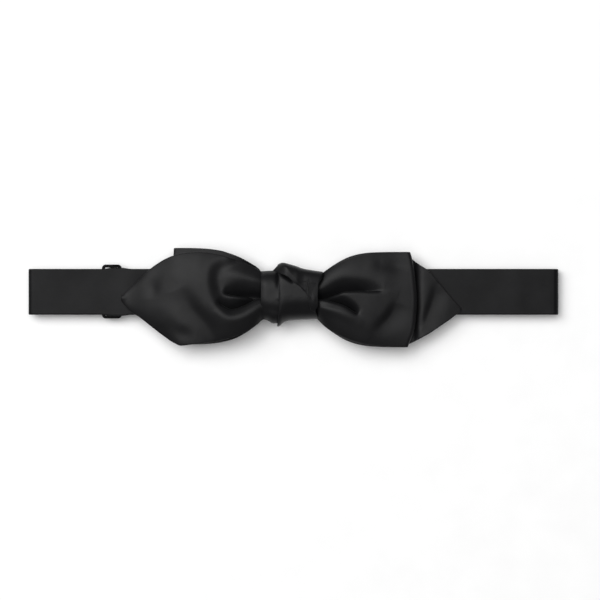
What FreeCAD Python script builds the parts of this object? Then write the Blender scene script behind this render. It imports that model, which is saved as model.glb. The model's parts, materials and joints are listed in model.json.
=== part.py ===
"""Pre-tied pointed bow tie on an adjustable neckband, lying face up and folded flat.

Units are millimetres. +X runs along the neckband, +Y across it towards the bow's upper edge and +Z out
of the bow's face. The origin is the centre of the footprint, on the surface that the tie lies on.

The bow is four silk pieces pleated into one knot: a pointed blade over a loop on the left, and a loop
over a pointed blade on the right. Every silk piece is a closed sleeve round a thin interlining. The
neckband leaves the knot on both sides, turns back under itself in a flat fold at each end, and closes
behind the knot with a hook and an eye. The left strap carries the tri-bar slide that sets the neck size.
"""

import FreeCAD
import Part
import math
import os

V = FreeCAD.Vector

# ---- driving dimensions -------------------------------------------------------------------------

LENGTH = 199.0  # overall, fold to fold
BOW_HEIGHT = 37.3  # highest to lowest corner of the bow
BAND_WIDTH = 17.2
BAND_Y = 2.2  # the neckband's centreline, above the footprint's centre
BAND_T = 0.8  # pressed satin tube
SILK_T = 1.2  # one blade or loop wall: silk, interlining, silk
LINING_T = 0.4
LINING_PLAY = 0.05  # room round the interlining inside its sleeve
LINING_INSET = 1.4  # interlining stops this far inside the silk's edge
METAL_T = 1.0
WIRE_W = 1.2  # width of the slide's bars
RUN_CLEAR = 0.15  # between the band and the slide that runs along it
BAR_CLEAR = 0.05  # between the slide's centre bar and the turned end
LAYER_GAP = 0.02  # between the turned end's two layers
SPLIT_GAP = 0.15  # between a strap and the hinge line of its fold

# levels, from the surface up
LOWER_Z = 0.0  # underside of the return layer
SLIDE_BAR_Z = LOWER_Z + BAND_T  # underside of the slide's centre bar
WRAP_TOP_Z = SLIDE_BAR_Z + METAL_T  # underside of the turned end over that bar
LEFT_REAR_Z = WRAP_TOP_Z + BAND_T + RUN_CLEAR  # underside of the left strap's rear layer
SLIDE_FRAME_Z = LEFT_REAR_Z + BAND_T + RUN_CLEAR  # underside of the slide's outer frame
RIGHT_REAR_Z = 1.9  # underside of the right strap's rear layer
WRAP_T = 0.65  # either turn of the knot, where it passes behind the band
WRAP_GAP = 0.05
WRAP_BACK_Z = LEFT_REAR_Z + BAND_T + 0.4  # back of the knot, clear of the left strap's rear layer
INNER_BACK_Z = WRAP_BACK_Z + WRAP_T + WRAP_GAP
FRONT_Z = INNER_BACK_Z + WRAP_T + WRAP_GAP  # underside of the front layer, also clear of the slide
BOW_BACK_Z = FRONT_Z + BAND_T + 0.25  # lowest silk of the bow, clear of the band
LEFT_LOOP_T = 3.4  # whole height of each loop where it is straight
RIGHT_LOOP_T = 4.4

# stations along the band
LEFT_FOLD_R = (FRONT_Z - LEFT_REAR_Z) / 2  # mid-thickness radius of the left fold
RIGHT_FOLD_R = (FRONT_Z - RIGHT_REAR_Z) / 2
LEFT_FOLD_X = -LENGTH / 2 + LEFT_FOLD_R + BAND_T / 2
RIGHT_FOLD_X = LENGTH / 2 - RIGHT_FOLD_R - BAND_T / 2
SLIDE_X = -68.25
SLIDE_Y = 2.33
SLIDE_LENGTH = 7.35
SLIDE_HEIGHT = 20.25
SLIDE_RAIL_W = 1.15
WRAP_TAIL = 10.25  # the turned end's length beyond the slide's centre bar
RUN_END_X = -60.0  # the left strap stops changing length here
HOOK_X = -27.0  # axis of the hook's bar
HOOK_BAR_R = 0.6
HOOK_REACH = 10.0  # bar axis to the tip of the tongue
HOOK_T = 0.9  # plate and arms
TONGUE_HALF = 4.0
TONGUE_T = 0.5
EYE_X = 25.0  # axis of the eye's bar
EYE_T = 0.9  # also the diameter of its bar
EYE_REACH = 6.8  # bar axis to catch bar axis
CATCH_HALF = 0.6
ARM_IN = BAND_WIDTH / 2 + 0.4  # inner face of the hook's and eye's side arms, from the band's centre
ARM_OUT = ARM_IN + 1.1
TURNED_END = 9.0  # the right strap's end beyond the eye's bar

# the knot
KNOT_LEFT = -12.0
KNOT_STEP = -5.8  # where the outer turn starts
KNOT_INNER_END = -1.8  # where the inner turn ends, under the outer one
KNOT_RIGHT = 9.6
KNOT_T = 0.9
KNOT_BACK_CORNER = 1.4
TENON = 1.6  # how far the silk pieces reach into the knot
TENON_LOW, TENON_HIGH = -6.0, 7.4
CORE_CLEAR = 0.2
CORE_T = 6.2
WAIST_X = 26.0  # the band is gathered from here to the knot
WAIST_HIGH, WAIST_LOW = 8.0, -6.0  # its edges at the middle of the knot
THREAD_R = 0.15

PARTS = "parts"


# ---- small helpers ------------------------------------------------------------------------------


def box(x0, x1, y0, y1, z0, z1):
    """A plain block between two corners."""
    return Part.makeBox(x1 - x0, y1 - y0, z1 - z0, V(x0, y0, z0))


def spline(points):
    """One smooth edge through points."""
    curve = Part.BSplineCurve()
    curve.interpolate([V(*p) for p in points])
    return curve.toShape()


def arc(a, b, c):
    return Part.Arc(V(*a), V(*b), V(*c)).toShape()


def line(a, b):
    return Part.LineSegment(V(*a), V(*b)).toShape()


def across_band(section, half=BAND_WIDTH / 2, centre=BAND_Y):
    """A closed XZ section, drawn at y = 0, extruded over the band's width."""
    face = Part.Face(section) if isinstance(section, Part.Wire) else section
    face = face.translated(V(0, centre - half, 0))
    return face.extrude(V(0, 2 * half, 0))


def half_ring(x, z, mid_r, thickness, side):
    """XZ half ring round (x, z); side is +1 for one that bulges towards +X and -1 for -X."""
    outer, inner = mid_r + thickness / 2, mid_r - thickness / 2
    edges = [
        arc((x, 0, z - outer), (x + side * outer, 0, z), (x, 0, z + outer)),
        line((x, 0, z + outer), (x, 0, z + inner)),
        arc((x, 0, z + inner), (x + side * inner, 0, z), (x, 0, z - inner)),
        line((x, 0, z - inner), (x, 0, z - outer)),
    ]
    return Part.Wire(edges)


def polygon_xz(points):
    return Part.makePolygon([V(x, 0, z) for x, z in points + points[:1]])


def stadium(x, y0, y1, z0, z1, front, back):
    """A rectangle in the plane X = x, rounded by radius front at its top and back at its bottom."""

    def corner(y, z, side_y, side_z, r):
        """The arc at (y, z), from its end on the Z side to its end on the Y side."""
        k = r * (1 - math.sqrt(0.5))
        return (y - side_y * r, z), (y - side_y * k, z - side_z * k), (y, z - side_z * r)

    low_right, high_right = corner(y1, z0, 1, -1, back), corner(y1, z1, 1, 1, front)
    high_left, low_left = corner(y0, z1, -1, 1, front), corner(y0, z0, -1, -1, back)
    turns = [low_right, high_right[::-1], high_left, low_left[::-1]]
    edges = []
    for i, (a, b, c) in enumerate(turns):
        following = turns[(i + 1) % len(turns)][0]
        edges.append(arc((x, *a), (x, *b), (x, *c)))
        edges.append(line((x, *c), (x, *following)))
    return Part.Wire(edges)


def prism(outline, inset=0.0):
    """The plan outline, shrunk towards its middle until it is inset smaller all round, as a tall block."""
    if inset:
        b = outline.BoundBox
        shrink = FreeCAD.Matrix()
        shrink.move(-b.Center)
        shrink.scale(1 - 2 * inset / b.XLength, 1 - 2 * inset / b.YLength, 1)
        shrink.move(b.Center)
        outline = outline.transformGeometry(shrink)
    return Part.Face(outline).extrude(V(0, 0, 40))


def stitches(places, length, along):
    """A row of thread stitches, one separate capsule-like solid at each place."""
    solids = []
    for x, y, z in places:
        start = V(x, y, z) - along * (length / 2)
        solids.append(Part.makeCylinder(THREAD_R, length, start, along))
    return Part.makeCompound(solids)


# ---- silk pieces of the bow ---------------------------------------------------------------------


def sleeve(body, cavity, lining, outline):
    """(silk, interlining): body cut to the outline with a sealed cavity, and the lining inside it."""
    silk = body.common(prism(outline))
    hollow = cavity.common(prism(outline, LINING_INSET))
    core = lining.common(prism(outline, LINING_INSET + 2 * LINING_PLAY))
    return silk.cut(hollow), core


def blade(profile, outline):
    """A pointed blade: its underside follows profile in XZ, and its plan follows outline."""
    curve = spline([(x, -BOW_HEIGHT, z) for x, z in profile])
    low = (SILK_T - LINING_T) / 2

    def layer(base, thickness):
        ribbon = curve.translated(V(0, 0, base)).extrude(V(0, 0, thickness))
        return ribbon.extrude(V(0, 2 * BOW_HEIGHT, 0))

    return sleeve(
        layer(0, SILK_T),
        layer(low - LINING_PLAY, LINING_T + 2 * LINING_PLAY),
        layer(low, LINING_T),
        outline,
    )


def loop(section, outline):
    """A folded loop: a band of silk whose outer XZ section is the closed wire given."""
    low = (SILK_T - LINING_T) / 2

    def layer(depth, thickness):
        outer = section.makeOffset2D(-depth) if depth else section
        inner = section.makeOffset2D(-depth - thickness)
        ring = Part.Face(outer).cut(Part.Face(inner))
        return ring.translated(V(0, -BOW_HEIGHT, 0)).extrude(V(0, 2 * BOW_HEIGHT, 0))

    return sleeve(
        layer(0, SILK_T),
        layer(low - LINING_PLAY, LINING_T + 2 * LINING_PLAY),
        layer(low, LINING_T),
        outline,
    )


LEFT_TENON_X = KNOT_LEFT + TENON  # where the left silk ends, inside the knot
RIGHT_TENON_X = KNOT_RIGHT - TENON


def silk_outline(inner_x, tenon_x, high, low, shape):
    """A silk piece's plan: shape runs from (inner_x, high) round to (inner_x, low)."""
    tenon = [
        (inner_x, low, 0),
        (inner_x, TENON_LOW, 0),
        (tenon_x, TENON_LOW, 0),
        (tenon_x, TENON_HIGH, 0),
        (inner_x, TENON_HIGH, 0),
        (inner_x, high, 0),
    ]
    return Part.Wire(shape + [line(a, b) for a, b in zip(tenon, tenon[1:])])


def left_front_blade():
    x = KNOT_LEFT - CORE_CLEAR
    high, low = 9.9, -9.3
    tip, top, bottom = (-64.6, 0, 0), (-43.5, 16.4, 0), (-42.0, -17.9, 0)
    outline = silk_outline(
        x,
        LEFT_TENON_X,
        high,
        low,
        [
            spline([(x, high, 0), (-23.8, 15.0, 0), (-35.0, 17.0, 0), top]),
            arc(top, (-54.4, 10.1, 0), tip),
            arc(tip, (-54.6, -9.5, 0), bottom),
            spline([bottom, (-27.6, -16.2, 0), (x, low, 0)]),
        ],
    )
    over = BOW_BACK_Z + LEFT_LOOP_T + 0.35
    profile = [
        (LEFT_TENON_X + 3, over - 0.1),
        (-22.0, over + 1.3),
        (-36.0, over + 0.7),
        (-47.0, over - 0.2),
        (-53.0, BOW_BACK_Z + 1.9),
        (-60.0, BOW_BACK_Z + 0.5),
        (-66.0, BOW_BACK_Z + 0.1),
    ]
    return blade(profile, outline)


def left_rear_loop():
    x = KNOT_LEFT - CORE_CLEAR
    high, low = 10.3, -9.3
    top, fold_edge, bottom = (-44.4, BOW_HEIGHT / 2, 0), (-48.6, -0.5, 0), (-42.2, -17.6, 0)
    outline = silk_outline(
        x,
        LEFT_TENON_X,
        high,
        low,
        [
            spline([(x, high, 0), (-23.8, 15.6, 0), (-36.0, 18.0, 0), top]),
            arc(top, fold_edge, bottom),
            spline([bottom, (-27.6, -16.0, 0), (x, low, 0)]),
        ],
    )
    z0, z1 = BOW_BACK_Z, BOW_BACK_Z + LEFT_LOOP_T
    far, bend = fold_edge[0], LEFT_LOOP_T / 2
    section = Part.Wire(
        [
            line((LEFT_TENON_X, 0, z0), (far + bend, 0, z0)),
            arc((far + bend, 0, z0), (far, 0, z0 + bend), (far + bend, 0, z1)),
            line((far + bend, 0, z1), (LEFT_TENON_X, 0, z1)),
            line((LEFT_TENON_X, 0, z1), (LEFT_TENON_X, 0, z0)),
        ]
    )
    return loop(section, outline)


def right_front_loop():
    x = KNOT_RIGHT + CORE_CLEAR
    high, low = 8.9, -8.9
    top, fold_edge, bottom = (43.3, 17.1, 0), (45.8, -0.9, 0), (42.4, -BOW_HEIGHT / 2, 0)
    outline = silk_outline(
        x,
        RIGHT_TENON_X,
        high,
        low,
        [
            spline([(x, high, 0), (17.4, 12.9, 0), (28.7, 16.2, 0), top]),
            arc(top, fold_edge, bottom),
            spline([bottom, (26.8, -17.1, 0), (15.6, -12.9, 0), (x, low, 0)]),
        ],
    )
    z0 = BOW_BACK_Z + SILK_T + 0.35  # clear of the blade behind it
    z1 = z0 + RIGHT_LOOP_T
    far, bend = fold_edge[0], RIGHT_LOOP_T / 2
    crown = (26.0, 0, z1 + 1.6)
    section = Part.Wire(
        [
            line((RIGHT_TENON_X, 0, z0), (far - bend, 0, z0)),
            arc((far - bend, 0, z0), (far, 0, z0 + bend), (far - bend, 0, z1)),
            arc((far - bend, 0, z1), crown, (RIGHT_TENON_X, 0, z1 - 0.3)),
            line((RIGHT_TENON_X, 0, z1 - 0.3), (RIGHT_TENON_X, 0, z0)),
        ]
    )
    return loop(section, outline)


def right_rear_blade():
    x = KNOT_RIGHT + CORE_CLEAR
    high, low = 8.4, -8.4
    tip, top, bottom = (62.9, -4.9, 0), (42.0, 15.6, 0), (41.5, -17.9, 0)
    outline = silk_outline(
        x,
        RIGHT_TENON_X,
        high,
        low,
        [
            spline([(x, high, 0), (17.4, 12.2, 0), (29.0, 15.4, 0), top]),
            arc(top, (51.4, 8.9, 0), tip),
            arc(tip, (53.0, -12.2, 0), bottom),
            spline([bottom, (26.8, -16.6, 0), (15.6, -12.4, 0), (x, low, 0)]),
        ],
    )
    profile = [
        (RIGHT_TENON_X - 3, BOW_BACK_Z + 0.1),
        (28.0, BOW_BACK_Z + 0.1),
        (64.0, BOW_BACK_Z),
    ]
    return blade(profile, outline)


# ---- the knot -----------------------------------------------------------------------------------


def knot_core():
    """The pleated middle of the four silk pieces, above the band and inside the turns."""
    x0, x1 = LEFT_TENON_X + CORE_CLEAR, RIGHT_TENON_X - CORE_CLEAR
    section = stadium(x0, -6.4, 8.2, BOW_BACK_Z, BOW_BACK_Z + CORE_T, 3.0, 1.0)
    return Part.Face(section).extrude(V(x1 - x0, 0, 0))


def knot_turn(back, start, end):
    """A tapering ring between two sections, each (x, low y, high y, height over the band, corner radius)."""
    lofts = []
    for shrink, rise in ((0, 0), (KNOT_T, WRAP_T)):
        wires = [
            stadium(
                x,
                y0 + shrink,
                y1 - shrink,
                back + rise,
                BOW_BACK_Z + height - shrink,
                corner - shrink,
                KNOT_BACK_CORNER - shrink,
            )
            for x, y0, y1, height, corner in (start, end)
        ]
        lofts.append(Part.makeLoft(wires, True, True))
    return lofts[0].cut(lofts[1])


def knot_inner_turn():
    """The first turn, which shows as a collar on the knot's left and runs on under the outer turn."""
    return knot_turn(
        INNER_BACK_Z,
        (KNOT_LEFT, -9.2, 10.6, 7.4, 4.0),
        (KNOT_INNER_END, -8.6, 10.2, 7.2, 4.0),
    )


def knot_outer_turn():
    """The second turn, which is tallest where it starts."""
    return knot_turn(
        WRAP_BACK_Z,
        (KNOT_STEP, -11.0, 13.1, 8.9, 4.6),
        (KNOT_RIGHT, -7.8, 10.0, 7.9, 4.2),
    )


def knot_stitches():
    """Tacking stitches that close the outer turn across the back of the knot."""
    places = [(2.0, BAND_Y + 2.2 * i, WRAP_BACK_Z + THREAD_R) for i in range(-2, 3)]
    return stitches(places, 2.4, V(1, 0, 0))


# ---- the neckband -------------------------------------------------------------------------------


def strip(x0, x1, z0):
    half = BAND_WIDTH / 2
    return box(x0, x1, BAND_Y - half, BAND_Y + half, z0, z0 + BAND_T)


def band_front():
    """The front layer, whole from fold to fold, gathered to a waist where the knot holds it."""
    x0, x1 = LEFT_FOLD_X + SPLIT_GAP, RIGHT_FOLD_X - SPLIT_GAP
    high, low = BAND_Y + BAND_WIDTH / 2, BAND_Y - BAND_WIDTH / 2
    z = FRONT_Z
    outline = Part.Wire(
        [
            line((x0, high, z), (-WAIST_X, high, z)),
            arc((-WAIST_X, high, z), (0, WAIST_HIGH, z), (WAIST_X, high, z)),
            line((WAIST_X, high, z), (x1, high, z)),
            line((x1, high, z), (x1, low, z)),
            line((x1, low, z), (WAIST_X, low, z)),
            arc((WAIST_X, low, z), (0, WAIST_LOW, z), (-WAIST_X, low, z)),
            line((-WAIST_X, low, z), (x0, low, z)),
            line((x0, low, z), (x0, high, z)),
        ]
    )
    return Part.Face(outline).extrude(V(0, 0, BAND_T))


def fold(x, rear_z, radius, side):
    """The soft U between the rear and front layers, with its short straight legs."""
    mid = (rear_z + FRONT_Z + BAND_T) / 2
    bend = across_band(half_ring(x, mid, radius, BAND_T, side))
    legs = [strip(*sorted((x, x - side * SPLIT_GAP)), z) for z in (rear_z, FRONT_Z)]
    return bend.fuse(legs).removeSplitter()


def slide_wrap():
    """The strap's end, turned round the slide's centre bar and laid back along itself."""
    low, high = LOWER_Z, WRAP_TOP_Z  # its lower layer's underside, its upper layer's underside at the bar
    t = BAND_T
    back = SLIDE_X - WIRE_W / 2 - BAR_CLEAR  # inner faces of the turn, each side of the bar
    front = SLIDE_X + WIRE_W / 2 + BAR_CLEAR
    closed = front + 1.9  # where the two layers meet again
    tail = SLIDE_X + WRAP_TAIL
    lip = tail - 1.0  # the turned end stops short of the seam
    section = [
        (tail, low),
        (back - t, low),
        (back - t, high + t),
        (front + 0.4, high + t),
        (closed + 0.3, low + 2 * t + LAYER_GAP),
        (lip, low + 2 * t + LAYER_GAP),
        (lip, low + t + LAYER_GAP),
        (closed, low + t + LAYER_GAP),
        (front, high),
        (back, high),
        (back, low + t),
        (closed, low + t),
        (tail, low + t),
    ]
    return across_band(polygon_xz(section))


def tacking(rows):
    """Rows of stitches across the band, flush with the underside of the lowest layer."""
    places = [(x, BAND_Y + 2.4 * i, LOWER_Z + THREAD_R) for x in rows for i in range(-3, 4)]
    return stitches(places, 1.6, V(0, 1, 0))


def slide_stitches():
    """Two rows that hold the turned end to the return layer."""
    return tacking([SLIDE_X + 4.6, SLIDE_X + 7.4])


def slide_frame():
    """Tri-bar slide: two outer bars over the strap and an offset centre bar under it."""
    half_x, half_y = SLIDE_LENGTH / 2, SLIDE_HEIGHT / 2
    z = SLIDE_FRAME_Z
    y0, y1 = SLIDE_Y - half_y, SLIDE_Y + half_y
    frame = box(SLIDE_X - half_x, SLIDE_X + half_x, y0, y1, z, z + METAL_T)
    upright = [
        e
        for e in frame.Edges
        if abs(e.Vertexes[0].Z - e.Vertexes[1].Z) > METAL_T / 2
    ]
    frame = frame.makeFillet(1.4, upright)
    window = box(
        SLIDE_X - half_x + WIRE_W,
        SLIDE_X + half_x - WIRE_W,
        y0 + SLIDE_RAIL_W,
        y1 - SLIDE_RAIL_W,
        z - 1,
        z + METAL_T + 1,
    )
    frame = frame.cut(window)
    bar_x0, bar_x1 = SLIDE_X - WIRE_W / 2, SLIDE_X + WIRE_W / 2
    posts = [
        box(bar_x0, bar_x1, y0, y0 + SLIDE_RAIL_W, SLIDE_BAR_Z, z),
        box(bar_x0, bar_x1, y1 - SLIDE_RAIL_W, y1, SLIDE_BAR_Z, z),
        box(bar_x0, bar_x1, y0, y1, SLIDE_BAR_Z, SLIDE_BAR_Z + METAL_T),
    ]
    return frame.fuse(posts).removeSplitter()


HOOK_Z = (LOWER_Z + BAND_T + LEFT_REAR_Z) / 2  # axis of the hook's bar
HOOK_TURN_R = (LEFT_REAR_Z - LOWER_Z) / 2  # mid-thickness radius of the strap round it
EYE_Z = (LOWER_Z + BAND_T + RIGHT_REAR_Z) / 2
EYE_TURN_R = (RIGHT_REAR_Z - LOWER_Z) / 2


def cross_bar(x, z, radius):
    """A round bar across the band, as long as the hook and the eye are wide."""
    return Part.makeCylinder(radius, 2 * ARM_OUT, V(x, BAND_Y - ARM_OUT, z), V(0, 1, 0))


def centred_box(x0, x1, y0, y1, z, thickness):
    """A block with y counted from the band's centreline and z at its mid-thickness."""
    return box(x0, x1, BAND_Y + y0, BAND_Y + y1, z - thickness / 2, z + thickness / 2)


def hook_turn():
    """The strap where it turns round the hook's bar."""
    return across_band(half_ring(HOOK_X, HOOK_Z, HOOK_TURN_R, BAND_T, 1))


def hook():
    """Bar, two arms, a cross plate and a tongue that turns back under it."""
    plate_x = HOOK_X + 2.6
    plate_end = plate_x + 1.6
    top, bottom = HOOK_Z + HOOK_T / 2, LOWER_Z + 0.05
    bend_r = (top - bottom) / 2
    bend_x = HOOK_X + HOOK_REACH - bend_r
    bend = half_ring(bend_x, bottom + bend_r, bend_r - TONGUE_T / 2, TONGUE_T, 1)
    t = TONGUE_HALF
    pieces = [
        centred_box(HOOK_X, plate_end, -ARM_OUT, -ARM_IN, HOOK_Z, HOOK_T),
        centred_box(HOOK_X, plate_end, ARM_IN, ARM_OUT, HOOK_Z, HOOK_T),
        centred_box(plate_x, plate_end, -ARM_OUT, ARM_OUT, HOOK_Z, HOOK_T),
        centred_box(plate_end - 0.2, bend_x, -t, t, top - TONGUE_T / 2, TONGUE_T),
        centred_box(bend_x - 2.6, bend_x, -t, t, bottom + TONGUE_T / 2, TONGUE_T),
        across_band(bend, t),
    ]
    return cross_bar(HOOK_X, HOOK_Z, HOOK_BAR_R).fuse(pieces).removeSplitter()


def eye_turn():
    """The right strap's end, turned round the eye's bar and laid back along itself."""
    turn = across_band(half_ring(EYE_X, EYE_Z, EYE_TURN_R, BAND_T, -1))
    tail = strip(EYE_X, EYE_X + TURNED_END, LOWER_Z)
    return turn.fuse(tail).removeSplitter()


def eye_stitches():
    """Two rows that hold the turned end down."""
    return tacking([EYE_X + 3.4, EYE_X + 6.2])


def eye():
    """A flat ring: bar, two arms and the catch bar that the tongue goes over."""
    catch_x = EYE_X - EYE_REACH
    pieces = [
        centred_box(catch_x, EYE_X, -ARM_OUT, -ARM_IN, EYE_Z, EYE_T),
        centred_box(catch_x, EYE_X, ARM_IN, ARM_OUT, EYE_Z, EYE_T),
        centred_box(catch_x - CATCH_HALF, catch_x + CATCH_HALF, -ARM_OUT, ARM_OUT, EYE_Z, EYE_T),
    ]
    return cross_bar(EYE_X, EYE_Z, EYE_T / 2).fuse(pieces).removeSplitter()


def build():
    """Every sub-part by node name."""
    nodes = {}
    for name, maker in (
        ("left_front_blade", left_front_blade),
        ("left_rear_loop", left_rear_loop),
        ("right_front_loop", right_front_loop),
        ("right_rear_blade", right_rear_blade),
    ):
        nodes[name], nodes[name + "_interlining"] = maker()
    nodes["knot_core"] = knot_core()
    nodes["knot_inner_turn"] = knot_inner_turn()
    nodes["knot_outer_turn"] = knot_outer_turn()
    nodes["knot_stitches"] = knot_stitches()
    nodes["band_front"] = band_front()
    nodes["left_band_fold"] = fold(LEFT_FOLD_X, LEFT_REAR_Z, LEFT_FOLD_R, -1)
    nodes["left_band_rear"] = strip(LEFT_FOLD_X + SPLIT_GAP, RUN_END_X, LEFT_REAR_Z)
    nodes["loop_upper_layer"] = strip(RUN_END_X, HOOK_X, LEFT_REAR_Z)
    nodes["loop_lower_layer"] = strip(SLIDE_X + WRAP_TAIL, HOOK_X, LOWER_Z)
    nodes["hook_turn"] = hook_turn()
    nodes["hook"] = hook()
    nodes["slide_frame"] = slide_frame()
    nodes["slide_wrap"] = slide_wrap()
    nodes["slide_stitches"] = slide_stitches()
    nodes["right_band_fold"] = fold(RIGHT_FOLD_X, RIGHT_REAR_Z, RIGHT_FOLD_R, 1)
    nodes["right_band_rear"] = strip(EYE_X, RIGHT_FOLD_X - SPLIT_GAP, RIGHT_REAR_Z)
    nodes["eye_turn"] = eye_turn()
    nodes["eye_stitches"] = eye_stitches()
    nodes["eye"] = eye()
    return nodes


def main():
    os.makedirs(PARTS, exist_ok=True)
    for name, shape in build().items():
        b = shape.BoundBox
        extent = " ".join(f"{v:7.2f}" for v in (b.XMin, b.XMax, b.YMin, b.YMax, b.ZMin, b.ZMax))
        print(f"{name:32s} {len(shape.Solids)} {shape.isValid()} {shape.Volume:8.1f} {extent}")
        shape.exportStep(os.path.join(PARTS, name + ".step"))
    print("left fold axis", LEFT_FOLD_X, BAND_Y, (LEFT_REAR_Z + FRONT_Z + BAND_T) / 2)
    print("right fold axis", RIGHT_FOLD_X, BAND_Y, (RIGHT_REAR_Z + FRONT_Z + BAND_T) / 2)
    print("hook axis", HOOK_X, BAND_Y, HOOK_Z)
    print("eye axis", EYE_X, BAND_Y, EYE_Z)


main()
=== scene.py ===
"""Looks of a pre-tied black satin bow tie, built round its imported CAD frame.

Shapes are worked out in millimetres in the row's frame (+X along the band, +Y towards the bow's upper
edge, +Z out of its face) and turned into metres when a mesh is made. Every piece of cloth is a grid of
mid-surface points with its thickness laid on both sides and its edges rounded over.
"""

import json
import math

import bpy
import numpy as np
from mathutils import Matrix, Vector, noise


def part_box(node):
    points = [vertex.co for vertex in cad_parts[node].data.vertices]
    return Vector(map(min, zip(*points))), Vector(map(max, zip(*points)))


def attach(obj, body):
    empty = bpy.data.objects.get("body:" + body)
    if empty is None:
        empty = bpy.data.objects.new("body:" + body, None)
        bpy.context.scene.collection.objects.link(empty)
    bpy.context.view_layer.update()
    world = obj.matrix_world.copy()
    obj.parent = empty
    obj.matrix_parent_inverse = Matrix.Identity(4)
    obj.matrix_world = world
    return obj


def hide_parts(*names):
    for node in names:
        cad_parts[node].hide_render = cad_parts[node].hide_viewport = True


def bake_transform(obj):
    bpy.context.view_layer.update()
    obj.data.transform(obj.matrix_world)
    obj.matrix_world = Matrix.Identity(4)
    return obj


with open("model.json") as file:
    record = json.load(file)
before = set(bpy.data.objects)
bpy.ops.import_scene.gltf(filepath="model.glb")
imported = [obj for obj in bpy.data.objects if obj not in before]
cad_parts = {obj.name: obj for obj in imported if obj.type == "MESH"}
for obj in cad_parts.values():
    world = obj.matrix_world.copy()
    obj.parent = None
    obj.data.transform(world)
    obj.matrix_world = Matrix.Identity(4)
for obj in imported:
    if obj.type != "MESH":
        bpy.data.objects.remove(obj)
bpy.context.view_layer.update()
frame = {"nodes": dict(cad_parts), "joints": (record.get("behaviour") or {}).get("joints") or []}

MM = 0.001


# ---- places taken from the frame, in millimetres --------------------------------------------------


def node_box(name):
    low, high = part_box(name)
    return np.array(low) / MM, np.array(high) / MM


def joint_place(name):
    joint = next(j for j in frame["joints"] if j["name"] == name)
    return np.array(joint["pos_m"]) / MM


FRONT_LOW, FRONT_HIGH = node_box("band_front")
BAND_LOW, BAND_HIGH = FRONT_LOW[1], FRONT_HIGH[1]
BAND_T = FRONT_HIGH[2] - FRONT_LOW[2]
FRONT_MID = (FRONT_LOW[2] + FRONT_HIGH[2]) / 2
BOW_BACK = FRONT_HIGH[2] + 0.1  # lowest silk of the bow
LEFT_FOLD, RIGHT_FOLD = joint_place("left_fold"), joint_place("right_fold")
HOOK_BAR, EYE_BAR = joint_place("hook_pivot"), joint_place("eye_pivot")
LEFT_REAR = sum(node_box("left_band_rear"))[2] / 2
RIGHT_REAR = sum(node_box("right_band_rear"))[2] / 2
LOWER_MID = sum(node_box("loop_lower_layer"))[2] / 2
RUN_END = node_box("left_band_rear")[1][0]
SLIDE_X = sum(node_box("slide_frame"))[0] / 2
WRAP_LOW, WRAP_HIGH = node_box("slide_wrap")
EYE_TAIL = node_box("eye_turn")[1][0]
KNOT_BACK = node_box("knot_outer_turn")[0][2]
INNER_BACK = node_box("knot_inner_turn")[0][2]

SILK_T = 0.7
LINING_T = 0.3
LINING_INSET = 1.3
LAYER = SILK_T + 0.25  # from one silk layer's middle to the next


# ---- curves and grids -----------------------------------------------------------------------------


def through(points):
    """A function of x through (x, value) points, smooth and with no overshoot between them."""
    x, y = np.array(points, float).T
    step = np.diff(x)
    slope = np.diff(y) / step
    tangent = np.zeros(len(x))
    tangent[0], tangent[-1] = slope[0], slope[-1]
    for i in range(1, len(x) - 1):
        if slope[i - 1] * slope[i] > 0:
            tangent[i] = 2 * slope[i - 1] * slope[i] / (slope[i - 1] + slope[i])

    def value(at):
        at = np.clip(at, x[0], x[-1])
        i = np.clip(np.searchsorted(x, at) - 1, 0, len(step) - 1)
        t = (at - x[i]) / step[i]
        start = y[i] * (2 * t**3 - 3 * t**2 + 1) + step[i] * tangent[i] * (t**3 - 2 * t**2 + t)
        return start + y[i + 1] * (3 * t**2 - 2 * t**3) + step[i] * tangent[i + 1] * (t**3 - t**2)

    return value


def crowded(count, amount=0.85):
    """count numbers from 0 to 1, closer together towards both ends."""
    k = np.linspace(0, 1, count)
    return k - amount * np.sin(2 * np.pi * k) / (2 * np.pi)


def smoothstep(value, low, high):
    t = np.clip((value - low) / (high - low), 0, 1)
    return t * t * (3 - 2 * t)


def curve(points, steps=7):
    """The points joined by a smooth curve, steps to a span; every column is carried along it."""
    p = np.array(points, float)
    p = np.vstack([2 * p[0] - p[1], p, 2 * p[-1] - p[-2]])
    t = np.linspace(0, 1, steps, endpoint=False)[:, None]
    spans = []
    for a, b, c, d in zip(p, p[1:], p[2:], p[3:]):
        bend = (2 * a - 5 * b + 4 * c - d) * t**2 + (3 * b - a - 3 * c + d) * t**3
        spans.append(0.5 * (2 * b + (c - a) * t + bend))
    return np.vstack(spans + [p[-2:-1]])


def folds(x, y, lines):
    """The height that soft folds add at (x, y).

    A line is (power, points): power 2 gives a round section and less a sharper one, and a point is
    (x, y, width to the left of the line, width to its right, height)."""
    total = np.zeros_like(x)
    for power, points in lines:
        nearest = np.full_like(x, np.inf)
        height = np.zeros_like(x)
        line = curve(points)
        for a, b in zip(line, line[1:]):
            dx, dy = b[:2] - a[:2]
            t = np.clip(((x - a[0]) * dx + (y - a[1]) * dy) / (dx * dx + dy * dy), 0, 1)
            px, py = x - a[0] - t * dx, y - a[1] - t * dy
            side = smoothstep((dx * py - dy * px) / math.hypot(dx, dy), -0.4, 0.4)
            left, right = a[2] + t * (b[2] - a[2]), a[3] + t * (b[3] - a[3])
            away = np.hypot(px, py) / (right + side * (left - right))
            closer = away < nearest
            nearest = np.where(closer, away, nearest)
            height = np.where(closer, a[4] + t * (b[4] - a[4]), height)
        total += height * np.exp(-(nearest**power))
    return total


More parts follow.
